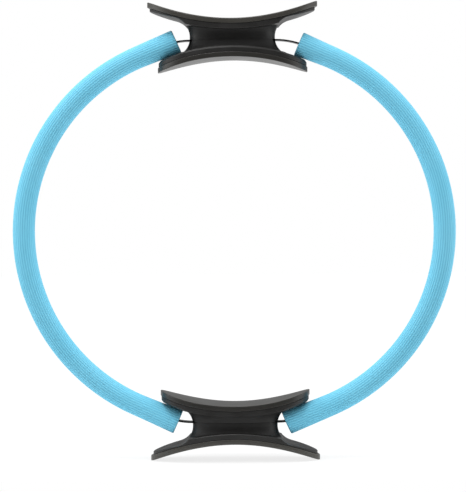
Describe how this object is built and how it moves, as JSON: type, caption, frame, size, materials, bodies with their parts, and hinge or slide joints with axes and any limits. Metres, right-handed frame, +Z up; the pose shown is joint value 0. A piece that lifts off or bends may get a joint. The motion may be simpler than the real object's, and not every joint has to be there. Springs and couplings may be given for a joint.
{
  "type": "pilates ring",
  "caption": "Springy exercise hoop with foam-sleeved sides and double-faced grip handles at top and bottom, squeezed together or pulled apart for resistance.",
  "frame": {"origin": "centre of the bounding box on the floor, under the lower handle that the ring stands on", "axes": "+Z up from the lower handle to the upper one, +X to the right across the ring seen from the front, +Y through the ring from front to back"},
  "size_m": [0.38, 0.046, 0.3923],
  "materials": {
    "spring_steel": "satin",
    "blue_foam": "matte",
    "handle_plastic": "satin",
    "grip_rubber": "matte",
    "zinc_steel": "satin"
  },
  "bodies": {
    "ring": {"left_spring_band": "spring_steel", "right_spring_band": "spring_steel", "left_foam_sleeve": "blue_foam", "right_foam_sleeve": "blue_foam", "bottom_outer_shell": "handle_plastic", "bottom_inner_shell": "handle_plastic", "bottom_outer_pad": "grip_rubber", "bottom_inner_pad": "grip_rubber", "bottom_screws": "zinc_steel", "bottom_nuts": "zinc_steel"},
    "top_handle": {"top_outer_shell": "handle_plastic", "top_inner_shell": "handle_plastic", "top_outer_pad": "grip_rubber", "top_inner_pad": "grip_rubber", "top_screws": "zinc_steel", "top_nuts": "zinc_steel"}
  },
  "joints": [
    {"name": "squeeze", "type": "slide", "parent": "ring", "child": "top_handle", "axis": [0, 0, 1], "range_m": [-0.08, 0.03], "stiffness_N_per_m": 600, "springref_m": 0.0025, "deforming": ["left_spring_band", "right_spring_band", "left_foam_sleeve", "right_foam_sleeve"]}
  ]
}
